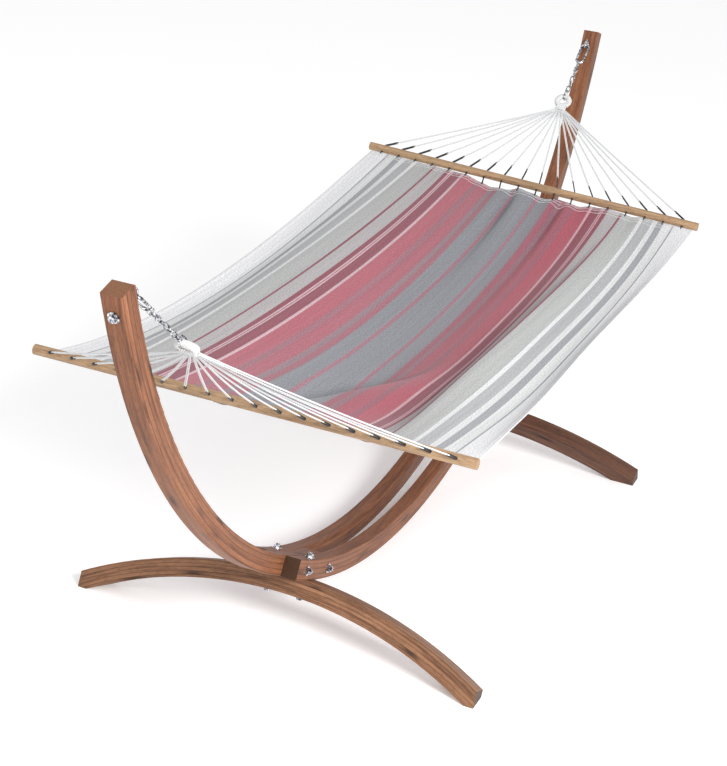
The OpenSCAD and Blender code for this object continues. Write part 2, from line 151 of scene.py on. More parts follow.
class Build:
    """Collects vertices, faces and UVs of one piece."""

    def __init__(self):
        self.v, self.f, self.uv, self.n = [], [], [], 0

    def grid(self, points, uv, wrap_v=False, flip=False):
        """points: a x b x 3; uv: a x (b or b + 1) x 2, one more column when wrapped."""
        a, b = points.shape[:2]
        base = self.n
        self.v.append(points.reshape(-1, 3))
        self.n += a * b
        cols = b if wrap_v else b - 1
        i, j = np.meshgrid(np.arange(a - 1), np.arange(cols), indexing="ij")
        i, j = i.ravel(), j.ravel()
        k = (j + 1) % b
        quad = [(i, j), (i, k), (i + 1, k), (i + 1, j)]
        uvq = [(i, j), (i, j + 1), (i + 1, j + 1), (i + 1, j)]
        if flip:
            quad, uvq = quad[::-1], uvq[::-1]
        self.f.append(np.stack([base + q[0] * b + q[1] for q in quad], 1))
        self.uv.append(np.stack([uv[q[0], q[1]] for q in uvq], 1).reshape(-1, 2))

    def tube(self, path, radius, sides=8, closed=False):
        """A round tube along a path; its UVs are metres along and turns round."""
        path = np.asarray(path, float)
        if closed:
            path = np.vstack([path, path[:1]])
        tangent = np.gradient(path, axis=0)
        if closed:
            tangent[0] = tangent[-1] = path[1] - path[-2]
        tangent /= np.linalg.norm(tangent, axis=1)[:, None]
        a = np.cross(tangent[0], np.cross([0.13, 0.21, 0.97], tangent[0]))
        frames = []
        for t in tangent:
            a = a - t * (a @ t)
            a = a / np.linalg.norm(a)
            frames.append((a.copy(), np.cross(t, a)))
        step = np.r_[0, np.cumsum(np.linalg.norm(np.diff(path, axis=0), axis=1))]
        r = np.broadcast_to(np.asarray(radius, float), (len(path),))
        ang = np.arange(sides) / sides * TURN
        rings = np.stack([
            p + rr * (np.cos(ang)[:, None] * fa + np.sin(ang)[:, None] * fb)
            for p, rr, (fa, fb) in zip(path, r, frames)
        ])
        uv = np.stack(np.meshgrid(step, np.arange(sides + 1) / sides, indexing="ij"), -1)
        self.grid(rings, uv, wrap_v=True)
        if not closed:
            for k, flip in ((0, True), (len(path) - 1, False)):
                base = self.n
                ring = rings[k]
                cap = np.vstack([ring, ring.mean(0)])
                self.v.append(cap)
                self.n += sides + 1
                j = np.arange(sides)
                tri = np.stack([base + j, base + (j + 1) % sides, np.full(sides, base + sides)], 1)
                self.f.append(tri[:, ::-1] if flip else tri)
                self.uv.append(np.tile([step[k], 0.5], (3 * sides, 1)))

    def make(self, name, slot, material):
        """The piece as one object, riding on the hammock."""
        me = bpy.data.meshes.new(name)
        faces = [tuple(int(x) for x in q) for f in self.f for q in f]
        me.from_pydata(np.vstack(self.v).tolist(), [], faces)
        layer = me.uv_layers.new(name="UVMap")
        layer.data.foreach_set("uv", np.vstack(self.uv).astype(np.float32).ravel())
        me.polygons.foreach_set("use_smooth", [True] * len(me.polygons))
        me.materials.append(material)
        me.update()
        ob = add_object(name, me)
        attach(ob, "hammock")
        return ob


def smooth_path(points, per=6):
    """Catmull-Rom through the points."""
    p = np.asarray(points, float)
    p = np.vstack([2 * p[0] - p[1], p, 2 * p[-1] - p[-2]])
    out = []
    for a, b, c, d in zip(p[:-3], p[1:-2], p[2:-1], p[3:]):
        for t in np.arange(per) / per:
            square, cube = 2 * a - 5 * b + 4 * c - d, 3 * b - a - 3 * c + d
            out.append(0.5 * (2 * b + (c - a) * t + square * t * t + cube * t ** 3))
    out.append(p[-2])
    return np.array(out)


# ----------------------------------------------------------------- materials
def rgb(r, g, b):
    """Linear colour from display values 0 to 255."""
    def lin(c):
        c /= 255
        return c / 12.92 if c <= 0.04045 else ((c + 0.055) / 1.055) ** 2.4
    return (lin(r), lin(g), lin(b), 1.0)


class Mat:
    """A material with short helpers for its node tree."""

    def __init__(self, name, **sockets):
        self.m = bpy.data.materials.new(name)
        self.m.use_nodes = True
        self.nt = self.m.node_tree
        self.bsdf = self.nt.nodes["Principled BSDF"]
        for key, value in sockets.items():
            self.bsdf.inputs[key.replace("_", " ")].default_value = value

    def node(self, kind, **props):
        n = self.nt.nodes.new("ShaderNode" + kind)
        for key, value in props.items():
            setattr(n, key, value)
        return n

    def link(self, a, b):
        self.nt.links.new(a, b)

    def put(self, value, socket):
        if isinstance(value, bpy.types.NodeSocket):
            self.link(value, socket)
        else:
            socket.default_value = value

    def math(self, op, a, b=None, c=None):
        n = self.node("Math", operation=op)
        for k, x in enumerate((a, b, c)):
            if x is not None:
                self.put(x, n.inputs[k])
        return n.outputs[0]

    def add(self, a, b):
        return self.math("ADD", a, b)

    def mul(self, a, b):
        return self.math("MULTIPLY", a, b)

    def vec(self, op, a, b=None, out=0):
        n = self.node("VectorMath", operation=op)
        self.put(a, n.inputs[0])
        if b is not None:
            self.put(b, n.inputs[1])
        return n.outputs[out]

    def combine(self, x, y, z):
        n = self.node("CombineXYZ")
        for k, v in enumerate((x, y, z)):
            self.put(v, n.inputs[k])
        return n.outputs[0]

    def scaled(self, *pairs):
        """A vector of products; a part that is a plain number stays as it is."""
        return self.combine(*(self.mul(*p) if isinstance(p, tuple) else p for p in pairs))

    def separate(self, v):
        n = self.node("SeparateXYZ")
        self.link(v, n.inputs[0])
        return n.outputs

    def noise(self, vector, scale, detail=3.0, rough=0.55, distortion=0.0):
        n = self.node("TexNoise")
        self.put(vector, n.inputs["Vector"])
        n.inputs["Scale"].default_value = scale
        n.inputs["Detail"].default_value = detail
        n.inputs["Roughness"].default_value = rough
        n.inputs["Distortion"].default_value = distortion
        return n.outputs["Fac"]

    def ramp(self, fac, stops, mode="LINEAR"):
        n = self.node("ValToRGB")
        n.color_ramp.interpolation = mode
        els = n.color_ramp.elements
        while len(els) < len(stops):
            els.new(0.5)
        for el, (pos, colour) in zip(els, sorted(stops, key=lambda s: s[0])):
            el.position = pos
            el.color = colour if not isinstance(colour, float) else (colour,) * 3 + (1.0,)
        self.link(fac, n.inputs[0])
        return n.outputs[0]

    def shade(self, colour, fac, stops):
        """The colour, multiplied by a ramp of the factor."""
        return self.mix(1.0, colour, self.ramp(fac, stops), "MULTIPLY")

    def mix(self, fac, a, b, blend="MIX"):
        n = self.node("Mix", data_type="RGBA", blend_type=blend)
        for value, key in ((fac, 0), (a, 6), (b, 7)):
            self.put(value, n.inputs[key])
        return n.outputs[2]

    def bump(self, height, distance, strength):
        n = self.node("Bump")
        n.inputs["Distance"].default_value = distance
        n.inputs["Strength"].default_value = strength
        self.link(height, n.inputs["Height"])
        return n.outputs[0]

    def finish(self, colour=None, rough=None, normal=None):
        for value, key in ((colour, "Base Color"), (rough, "Roughness"), (normal, "Normal")):
            if value is not None:
                self.link(value, self.bsdf.inputs[key])
        return self.m


def foot_axes(kind):
    """The way down a foot's plane, the plane's normal, and the centre of the foot's arc."""
    s = SIDE[kind]
    down = np.array([s * math.sin(FOOT_ANGLE), 0, -math.cos(FOOT_ANGLE)])
    return down, (math.cos(FOOT_ANGLE), 0, s * math.sin(FOOT_ANGLE)), ARCH_C + down * FOOT_C


def wood_coords(m, kind):
    """Coordinates in metres that follow the timber: (along, across, through the layers)."""
    p = m.node("TexCoord").outputs["Object"]
    if kind == "bar":
        x, y, z = m.separate(p)
        return y, x, z
    if kind == "arch":
        x, across, z = m.separate(m.vec("SUBTRACT", p, tuple(ARCH_C)))
        low, middle = m.mul(z, -1.0), ARCH_MIDDLE
    else:
        down, flat, centre = foot_axes(kind)
        q = m.vec("SUBTRACT", p, tuple(centre))
        x, middle = m.separate(q)[1], FOOT_MIDDLE
        across = m.vec("DOT_PRODUCT", q, flat, out=1)
        low = m.vec("DOT_PRODUCT", q, tuple(-down), out=1)
    through = m.math("SQRT", m.add(m.mul(x, x), m.mul(low, low)))
    return m.mul(m.math("ARCTAN2", x, low), middle), across, through


def end_facing(m, kind):
    """Cosine between the surface and the timber's length: 1 on a sawn end."""
    tc = m.node("TexCoord")
    normal, p = tc.outputs["Normal"], tc.outputs["Object"]
    if kind == "bar":
        return m.separate(normal)[1]
    if kind == "arch":
        x, _, z = m.separate(m.vec("SUBTRACT", p, tuple(ARCH_C)))
        length = m.combine(m.mul(z, -1.0), 0.0, x)
    else:
        _, flat, centre = foot_axes(kind)
        length = m.vec("CROSS_PRODUCT", m.vec("SUBTRACT", p, tuple(centre)), flat)
    return m.vec("DOT_PRODUCT", normal, m.vec("NORMALIZE", length), out=1)


# Colours of sawn ends: (fine dark, fine light); the dark end grain is partly the wood's own,
# partly painted shade
SHADED_END_GRAIN = (rgb(44, 28, 18), rgb(76, 50, 32))
# lighter end grain on the posts' tops, which face up: painted light
LIT_TOP_END_GRAIN = (rgb(94, 60, 40), rgb(134, 92, 64))
BAR_END = (rgb(128, 98, 66), rgb(158, 124, 86))
TOP_Z = 0.8  # above this height the arch's sawn ends are the posts' tops, painted lighter: painted light
THIN_LAYER = 0.05  # timber in layers thinner than this is laminated


def wood(name, kind, light, middle, dark, layer, seed, rough=0.52, knots=True):
    """Grain that follows the timber, in glued layers with seams, and with darker sawn ends (partly
    painted shade).
    """
    m = Mat(name, Roughness=rough, Specular_IOR_Level=0.3)
    along, across, through = wood_coords(m, kind)
    shift = m.mul(m.math("FLOOR", m.math("DIVIDE", through, layer)), 7.31)
    a = m.add(along, m.add(shift, seed))

    def streaks(k_along, k_across, detail, roughness, twist=0.0):
        vector = m.scaled((a, k_along), (across, k_across), (through, k_across))
        return m.noise(vector, 1.0, detail, roughness, twist)

    grain = streaks(3.0, 95.0, 4.0, 0.62, 0.3)
    wide = streaks(1.3, 14.0, 2.0, 0.5, 0.2)
    fine = streaks(16.0, 520.0, 2.0, 0.5)
    pores = streaks(38.0, 640.0, 1.0, 0.5)
    rings = m.math("SINE", m.add(m.mul(wide, 60.0), m.mul(across, 330.0)))
    tone = m.add(m.mul(grain, 0.52), m.mul(wide, 0.20))
    tone = m.add(tone, m.mul(rings, 0.035))
    tone = m.add(tone, m.mul(fine, 0.26))
    colour = m.ramp(tone, [(0.32, dark), (0.48, middle), (0.66, light)])
    colour = m.shade(colour, pores, [(0.30, 0.72), (0.42, 1.0)])
    speckle = streaks(60.0, 260.0, 3.0, 0.7)
    colour = m.shade(colour, speckle, [(0.30, 0.58), (0.42, 0.94), (0.70, 1.14)])
    per_layer = m.node("TexWhiteNoise", noise_dimensions="1D")
    m.link(shift, per_layer.inputs["W"])
    colour = m.shade(colour, per_layer.outputs["Value"], [(0.0, 0.90), (1.0, 1.07)])
    if layer < THIN_LAYER:
        seam = m.math("FRACT", m.math("DIVIDE", through, layer))
        seam = m.math("ABSOLUTE", m.math("SUBTRACT", seam, 0.5))
        colour = m.shade(colour, seam, [(0.38, 1.0), (0.45, 0.62), (0.49, 0.34)])
    if knots:
        cells = m.node("TexVoronoi", feature="F1")
        m.link(m.scaled((a, 4.6), (across, 15.0), (through, 15.0)), cells.inputs["Vector"])
        cells.inputs["Scale"].default_value = 1.0
        wobbly = m.add(cells.outputs["Distance"], m.mul(fine, 0.05))
        colour = m.shade(colour, wobbly, [(0.09, 0.26), (0.13, 0.50), (0.19, 0.78), (0.27, 1.0)])
    blotch = m.noise(m.combine(a, across, through), 6.0, 2.0)
    colour = m.shade(colour, blotch, [(0.3, 0.90), (0.7, 1.06)])

    # sawn ends: dark end grain with painted shade, lighter on the posts' tops with painted light,
    # pale on the bars
    p = m.node("TexCoord").outputs["Object"]
    end_grain = m.noise(p, 520.0, 2.0)

    def end_colour(pair):
        return m.ramp(end_grain, [(0.3, pair[0]), (0.7, pair[1])])

    # end-grain colour: painted shade on the side ends, painted light on the posts' tops
    cut = end_colour(BAR_END if kind == "bar" else SHADED_END_GRAIN)
    if kind == "arch":
        at_top = m.math("GREATER_THAN", m.separate(p)[2], TOP_Z)
        cut = m.mix(at_top, cut, end_colour(LIT_TOP_END_GRAIN))
    facing = m.math("ABSOLUTE", end_facing(m, kind))
    colour = m.mix(m.ramp(facing, [(0.72, 0.0), (0.86, 1.0)]), colour, cut)
    height = m.add(m.mul(fine, 0.5), m.mul(grain, 0.6))
    rough_map = m.math("MULTIPLY_ADD", fine, 0.22, rough - 0.11)
    return m.finish(colour, rough_map, m.bump(height, 0.0005, 0.45))


def zinc(name, rough):
    """Galvanised steel, half shiny, in patches from near black to near white: partly the zinc's
    own mottle, partly painted reflections.
    """
    m = Mat(name, Metallic=1.0)
    p = m.node("TexCoord").outputs["Object"]
    mottle_and_reflection = m.noise(p, 160.0, 3.0)
    fine = m.noise(p, 900.0, 2.0)
    # near-black and near-white patches: painted reflections over the zinc's own mottle
    colour = m.ramp(mottle_and_reflection, [(0.38, rgb(62, 64, 70)), (0.50, rgb(166, 168, 174)),
                            (0.60, rgb(236, 238, 241))])
    rough_map = m.math("MULTIPLY_ADD", fine, 0.18, rough - 0.09)
    return m.finish(colour, rough_map, m.bump(fine, 0.0001, 0.4))


def twisted(name, light, dark, turn, plies, braid=False):
    """Cord: ridges that wind round the tube, from its UVs (metres along, turns round); the grooves
    between them are painted darker: painted shade.
    """
    m = Mat(name, Roughness=0.8, Sheen_Weight=0.25, Specular_IOR_Level=0.3)
    u, v, _ = m.separate(m.node("TexCoord").outputs["UV"])
    a, b = m.mul(u, TURN / turn), m.mul(v, TURN * plies)

    def ridges(angle):
        return m.math("ABSOLUTE", m.math("SINE", m.mul(angle, 0.5)))

    ridge = ridges(m.add(a, b))
    if braid:
        ridge = m.mul(ridge, ridges(m.math("SUBTRACT", a, b)))
    fibre = m.noise(m.scaled((m.add(a, b), 3.0), b, 0.0), 1.4, 2.0)
    tone = m.add(m.mul(ridge, 0.75), m.mul(fibre, 0.35))
    # dark in the grooves between the ridges: painted shade
    colour = m.ramp(tone, [(0.15, dark), (0.60, light)])
    return m.finish(colour, None, m.bump(tone, 0.0005, 0.8))


# Stripes from the centre line to each side edge: (outer limit in mm, colour)
ROSE, STRONG, SALMON = rgb(141, 76, 90), rgb(152, 70, 86), rgb(157, 66, 82)
BLUE, DIM, MUTED = rgb(117, 122, 127), rgb(125, 97, 106), rgb(136, 79, 92)
PINK, DEEP, LINE = rgb(144, 90, 105), rgb(125, 46, 64), rgb(128, 70, 84)
PALE, BLUSH, GREY = rgb(190, 158, 164), rgb(162, 157, 158), rgb(161, 162, 161)
WHITE, MID, DARK = rgb(201, 201, 202), rgb(158, 159, 161), rgb(145, 146, 150)
SLATE, EDGE = rgb(136, 138, 145), rgb(210, 210, 212)
INNER_END, RED_END, REACH = 233, 297, 600
INNER = [(40, BLUE), (50, PINK), (95, BLUE), (114, ROSE), (130, DIM), (168, STRONG),
         (186, MUTED), (INNER_END, SALMON)]
OUTER = [(240, PALE), (270, DEEP), (275, PALE), (277, DEEP), (283, PALE), (RED_END, DEEP),
         (338, BLUSH), (345, LINE), (408, GREY), (420, WHITE), (453, MID), (470, WHITE),
         (490, DARK), (521, WHITE), (526, SLATE), (REACH, EDGE)]
INNER_BLUR = 2.5  # the inner stripes run into each other over twice this
# Painted shade on the right side and painted light on the left, against the place across + 0.5
PLAIN, RIGHT_PAINTED_SHADE, LEFT_PAINTED_LIGHT = (1.0,) * 4, (0.98, 0.83, 0.86, 1.0), (1.05, 1.17, 1.13, 1.0)
SIDE_LIGHT_AND_SHADE = [(0.20, PLAIN), (0.205, RIGHT_PAINTED_SHADE), (0.38, RIGHT_PAINTED_SHADE), (0.44, PLAIN),
             (0.58, PLAIN), (0.63, LEFT_PAINTED_LIGHT), (0.732, LEFT_PAINTED_LIGHT), (0.737, PLAIN)]
WARP_STEP, WEFT_STEP = 0.0015, 0.0022  # the weave's relief


def striped_cloth(name):
    """Woven stripes from the cloth's UVs: metres along, and metres left of the middle."""
    m = Mat(name, Roughness=0.86, Sheen_Weight=0.15, Sheen_Roughness=0.5,
            Specular_IOR_Level=0.15)
    u, v, _ = m.separate(m.node("TexCoord").outputs["UV"])

    def threads(k_along, k_across, seed, detail, *rough):
        return m.noise(m.scaled((u, k_along), (v, k_across), seed), 1.0, detail, *rough)

    def bands(where, table, start, blur, mode):
        stops, low = [], start
        for high, colour in table:
            stops.append(((low + blur) / REACH, colour))
            if blur:
                stops.append(((high - blur) / REACH, colour))
            low = high
        return m.ramp(m.math("DIVIDE", where, REACH / 1000), stops, mode)

    ragged = threads(90.0, 500.0, 5.0, 1.0)
    s = m.math("ABSOLUTE", v)
    soft = m.add(s, m.math("MULTIPLY_ADD", ragged, 0.016, -0.008))
    outer = m.math("GREATER_THAN", s, INNER_END / 1000)
    colour = m.mix(outer, bands(soft, INNER, 0, INNER_BLUR, "LINEAR"),
                   bands(s, OUTER, INNER_END, 0, "CONSTANT"))
    warp = threads(1.2, 520.0, 0.0, 2.0, 0.6)
    weft = threads(620.0, 60.0, 3.0, 2.0, 0.6)
    fleck = threads(190.0, 240.0, 1.0, 3.0, 0.75)
    dye = threads(150.0, 280.0, 8.0, 3.0, 0.75)
    wide = threads(1.0, 70.0, 9.0, 1.0)
    # heather: yarns of other shades show between the dyed ones
    yarn = m.ramp(dye, [(0.36, rgb(96, 110, 118)), (0.50, rgb(160, 166, 168)),
                        (0.64, rgb(190, 104, 120))])
    inner = m.math("LESS_THAN", s, RED_END / 1000)
    colour = m.mix(m.mul(inner, 0.16), colour, yarn)
    # painted shade on the right side of the cloth, painted light on the left
    colour = m.shade(colour, m.add(v, 0.5), SIDE_LIGHT_AND_SHADE)
    for fac, low, high in ((warp, 0.88, 1.10), (weft, 0.90, 1.09), (wide, 0.94, 1.05)):
        colour = m.shade(colour, fac, [(0.25, low), (0.75, high)])
    colour = m.shade(colour, fleck, [(0.38, 0.76), (0.62, 1.22)])
    weave = m.mul(m.math("SINE", m.mul(u, TURN / WEFT_STEP)),
                  m.math("SINE", m.mul(v, TURN / WARP_STEP)))
    height = m.add(m.mul(weave, 0.5), m.add(warp, weft))
    return m.finish(colour, None, m.bump(height, 0.0004, 0.45))


WOOD = dict(light=rgb(145, 95, 64), middle=rgb(121, 75, 49), dark=rgb(78, 44, 29))
# the near foot's colours are raised for painted light, the far foot's are a darker copy for
# painted shade
LIT_NEAR_FOOT = dict(light=rgb(150, 109, 80), middle=rgb(125, 87, 62), dark=rgb(77, 49, 35))
SHADED_FAR_FOOT = dict(light=rgb(113, 76, 58), middle=rgb(92, 61, 46), dark=rgb(62, 38, 29))
BAR = dict(light=rgb(180, 150, 116), middle=rgb(156, 127, 98), dark=rgb(122, 96, 72))
ARCH_LAYER, FOOT_LAYER = 0.0145, 0.0106  # thickness of the glued layers
MATS = {
    "arch": wood("stand_wood", "arch", layer=ARCH_LAYER, seed=0.0, **WOOD),
    "near_foot": wood("near_foot_wood", "near", layer=FOOT_LAYER, seed=3.7, **LIT_NEAR_FOOT),
    "far_foot": wood("far_foot_wood", "far", layer=FOOT_LAYER, seed=11.2, **SHADED_FAR_FOOT),
    "bar": wood("bar_wood", "bar", layer=1.0, seed=5.0, rough=0.45, knots=False, **BAR),
    "zinc": zinc("zinc_steel", 0.26),
    "hook": zinc("hook_steel", 0.2),
    "white": twisted("white_cord", rgb(216, 217, 218), rgb(124, 125, 127), 0.0065, 3),
    "wrap": twisted("wrap_cord", rgb(220, 220, 219), rgb(126, 126, 124), 0.006, 3),
    "black": twisted("black_cord", rgb(44, 46, 50), rgb(12, 12, 14), 0.004, 4, braid=True),
    "thread": twisted("white_thread", rgb(246, 246, 247), rgb(196, 196, 200), 0.0012, 2),
    "cloth": striped_cloth("striped_cloth"),
}

TIMBER = ("arch", "near_foot", "far_foot")
POST_EASE, EASE = 0.006, 0.003  # width of the eased edges of the posts and of other timber
for name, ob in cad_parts.items():
    if "post" in name or "beam" in name:
        key = "arch"
    elif name in TIMBER:
        key = name
    elif "spreader" in name:
        key = "bar"
    elif any(k in name for k in ("hook", "gate", "chain", "connector", "eye_bolt")):
        key = "hook"
    else:
        key = "zinc"
    ob.data.materials.clear()
    ob.data.materials.append(MATS[key])
    if key in TIMBER:
        bevel = ob.modifiers.new("eased_edges", "BEVEL")
        bevel.width, bevel.segments = (POST_EASE if "post" in name else EASE), 3
        bevel.limit_method, bevel.angle_limit = "ANGLE", math.radians(40)


# --------------------------------------------------- rings, necks, cords, loops
WRAP_TURNS, WRAP_R = 46, 0.00155  # cord wound on each ring: turns, and its radius
NECK_R = 0.0015  # radius of a strand in the neck
WAIST, WAIST_HALF = 0.036, 0.016  # where the strands are drawn together, and half that width
BIND_TURNS, BIND_R = 4, 0.0013  # cord bound round the waist
CORD_DROOP = {"near": 0.006, "far": 0.002}  # how far a cord hangs below its straight line
HALF_TURN = np.linspace(0, math.pi, 7)


def wrapped_ring(e):
    """A ring with cord wound on it, over a plain core."""
    b = Build()
    steps = WRAP_TURNS * 18
    t = np.arange(steps) / steps
    big, small = TURN * t, TURN * WRAP_TURNS * t
    r = RING_TUBE - 0.0014
    radial = np.cos(big)[:, None] * e.pull + np.sin(big)[:, None] * ACROSS
    path = (e.ring + (RING_R + r * np.cos(small))[:, None] * radial
            + (r * np.sin(small))[:, None] * e.up)
    b.tube(path, WRAP_R, 8, closed=True)
    angle = np.arange(64) / 64 * TURN
    core = np.cos(angle)[:, None] * e.pull + np.sin(angle)[:, None] * ACROSS
    b.tube(e.ring + RING_R * core, RING_TUBE - 0.0016, 14, closed=True)
    ob = b.make(f"{e.name}_wrapped_ring", "white_cord", MATS["wrap"])
    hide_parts(f"{e.name}_ring")


def neck_and_cords(e):
    """Doubled cords round the ring, bound below it and fanning out to the black loops."""
    neck, fan = Build(), Build()
    droop, r = CORD_DROOP[e.name], STRAND[e.name]
    apart = r * 1.05  # half the distance between a cord's two strands

    def by_ring(along, y, up):
        return e.ring + e.pull * along + np.array([0, y, 0]) + e.up * up

    for i in range(HOLES):
        k = (i - (HOLES - 1) / 2) / ((HOLES - 1) / 2)  # -1 to 1 across the bar
        face, top, d = e.face(i), e.loop_top(i), e.fan(i)
        across = unit(np.cross(d, e.up))
        for side in (-1, 1):
            off = across * side * apart
            lift = side * RING_TUBE * 0.75
            neck.tube(smooth_path([by_ring(RING_R - 0.004, 0.0120 * k, lift * 1.15),
                                   by_ring(RING_R + 0.008, 0.0126 * k, lift),
                                   by_ring(WAIST, WAIST_HALF * k, side * 0.003),
                                   face + off + d * 0.002], 5), NECK_R, 7)
            end = top + d * 0.0005
            pts = [face + (end - face) * f + off - np.array([0, 0, droop * 4 * f * (1 - f)])
                   for f in np.linspace(0, 1, 14)]
            pts.append(top + d * 0.001 + off * 0.9)
            fan.tube(smooth_path(pts, 2), r, 7)
        # the turn where the two strands pass through the black loop
        w = across * apart
        turn = [top + w, top + d * 0.0018 + w * 0.7, top + d * 0.0022,
                top + d * 0.0018 - w * 0.7, top - w]
        fan.tube(smooth_path(turn, 3), r, 7)
    t = np.linspace(0, TURN * BIND_TURNS, 120)
    path = (e.ring + (0.0335 + 0.0075 * t / t[-1])[:, None] * e.pull
            + np.cos(t)[:, None] * 0.0185 * ACROSS + np.sin(t)[:, None] * 0.0062 * e.up)
    neck.tube(path, BIND_R, 7)
    ob = neck.make(f"{e.name}_bound_neck", "white_cord", MATS["white"])
    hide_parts(f"{e.name}_cord_neck")
    ob = fan.make(f"{e.name}_cord_fan", "white_cord", MATS["white"])
    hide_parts(f"{e.name}_cords")


def black_loops(e):
    """One cord loop through each hole: round the white cord above, through the hem below."""
    b = Build()
    inset = HEM_HOLE / SPAN
    row = np.array([inset if e.name == "near" else 1 - inset])
    back = LOOP_OUT[e.name] * 0.4
    half_up = LOOP_HALF * e.hole_up
    for i in range(HOLES):
        d, top, elbow = e.fan(i), e.loop_top(i), e.mouth(i)
        side = unit(e.hole_up - (e.hole_up @ d) * d)
        half = LOOP_HALF * side
        out = e.hole_pos(i) + (e.bar_r + 0.001) * e.hole
        eye = on_bed(row, np.array([(i - (HOLES - 1) / 2) * PITCH]))[0]
        way = unit(eye - out)
        wide = unit(e.hole_up - (e.hole_up @ way) * way) * LOOP_HALF
        inside = elbow + MOUTH_GAP * e.hole
        pts = [top + LOOP_HALF * (math.cos(f) * side - math.sin(f) * d) for f in HALF_TURN]
        pts += [elbow - back * d - half, elbow - MOUTH_GAP * d - half, inside - half_up,
                out - half_up]
        pts += [eye + LOOP_HALF * math.sin(f) * way - math.cos(f) * wide for f in HALF_TURN]
        pts += [out + half_up, inside + half_up, elbow - MOUTH_GAP * d + half,
                elbow - back * d + half]
        b.tube(smooth_path(pts + [pts[0]], 3)[:-1], LOOP_R, 8, closed=True)
    ob = b.make(f"{e.name}_black_loops", "black_cord", MATS["black"])
    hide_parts(f"{e.name}_loops")


# ---------------------------------------------------------------------- cloth
HALF, LENGTH = 0.59, 2.20  # half the cloth's flat width, and its flat length
HEM_HOLE = 0.009  # the black loops pass through the hem this far from its edge
HEM = {"near": (0.0165, 0, -0.0105), "far": (-0.0155, 0, -0.0105)}  # its edge, from the bar
THICK, DOUBLE = 0.0011, 0.0010  # the cloth, and what a turned edge adds
HEM_WIDE, SEAM_WIDE = 0.036, 0.014  # width of the turned edges at the ends and at the sides
STITCH_ROWS = (0.007, 0.016, 0.031)  # zigzag rows on each hem, from its edge
ZIGZAG, ZIGZAG_STEP = 0.0020, 0.0024  # half a zigzag's width, and its step
SEAM_IN = 0.011  # running stitch, from the side edge
THREAD_R, SEAM_THREAD_R = 0.0008, 0.00045
# Sag at each station from the right edge to the left, its lean towards the far end and its
# change with the arch. A least-squares fit to the photograph, in a separate script, gave these
# numbers; the first seven of SAG were then changed by hand.
STATIONS = np.linspace(-0.6, 0.6, 25)
SAG = [0.093, 0.137, 0.150, 0.138, 0.111, 0.081, 0.124, 0.155, 0.162, 0.167, 0.176, 0.178, 0.167,
       0.146, 0.124, 0.101, 0.078, 0.059, 0.047, 0.034, 0.029, 0.045, 0.069, 0.079, 0.069]
LEAN = [0.012, 0.018, 0.028, 0.034, 0.023, -0.002, -0.019, -0.020, -0.020, -0.021, -0.021,
        -0.021, -0.018, -0.014, -0.009, -0.006, -0.004, -0.007, -0.011, -0.015, -0.022, -0.028,
        -0.034, -0.042, -0.053]
FLAT = [0.062, 0.050, 0.036, 0.017, -0.010, -0.042, -0.066, -0.076, -0.077, -0.072, -0.064,
        -0.055, -0.049, -0.043, -0.037, -0.033, -0.031, -0.032, -0.035, -0.039, -0.043, -0.046,
        -0.045, -0.041, -0.036]
# Slack of each hem: places across, and millimetres below its tight line
DROOP = {
    "far": ([-0.60, -0.40, -0.385, -0.36, -0.335, -0.27, -0.232, -0.19, -0.16, -0.123, -0.09,
             -0.05, -0.012, 0.025, 0.043, 0.062, 0.10, 0.14, 0.174, 0.21, 0.25, 0.30, 0.33, 0.60],
            [0, 1, 7, 7, 1, 2, 7, 17, 15, 7, 17, 18, 9, 4, 11, 18, 22, 24, 18, 6, 2, 3, 1, 0]),
    "near": ([-0.60, -0.42, -0.35, -0.31, -0.26, -0.22, -0.16, -0.10, -0.05, 0.00, 0.05, 0.11,
              0.17, 0.24, 0.31, 0.38, 0.60],
             [0, 1, 4, 16, 5, 3, 6, 4, 17, 6, 5, 8, 4, 7, 2, 5, 0]),
}
SLACK_REACH = {"near": 0.07, "far": 0.09}  # how far the slack's short folds run into the bed
# Long soft folds from the far bar: place across, width, height and length
FOLDS = ((0.042, 0.013, -0.034, 0.42), (0.074, 0.020, 0.018, 0.38), (0.002, 0.022, 0.016, 0.32),
         (-0.127, 0.013, -0.032, 0.32), (-0.165, 0.022, 0.016, 0.30),
         (-0.088, 0.020, 0.012, 0.27), (0.150, 0.022, -0.005, 0.30), (-0.30, 0.02, 0.004, 0.25))
LIP_FROM, LIP_HEIGHT, LIP_DIP = 0.42, 0.036, 0.020  # the fold near the near bar
CREASE, CREASE_WIDE, CREASE_DEEP = -0.339, 0.011, 0.010  # the sharp line on the right wing
# Faint waves over the whole bed: height, radians for each metre across, radians along, phase
WAVES = ((0.0016, 26, 3, 0.0), (0.0012, 47, -5, 1.3), (0.0010, 71, 9, 0.4))


def bell(x, width):
    return np.exp(-0.5 * (x / width) ** 2)


def softened(xs, values, s, width):
    """Values between stations, rounded over a width."""
    step, reach = 0.002, 30
    fine = np.arange(-0.9, 0.9 + step, step)
    raw = np.interp(fine, xs, values)
    w = bell(np.arange(-reach, reach + 1) * step, width)
    return np.interp(s, fine[reach:-reach], np.convolve(raw, w / w.sum(), "valid"))


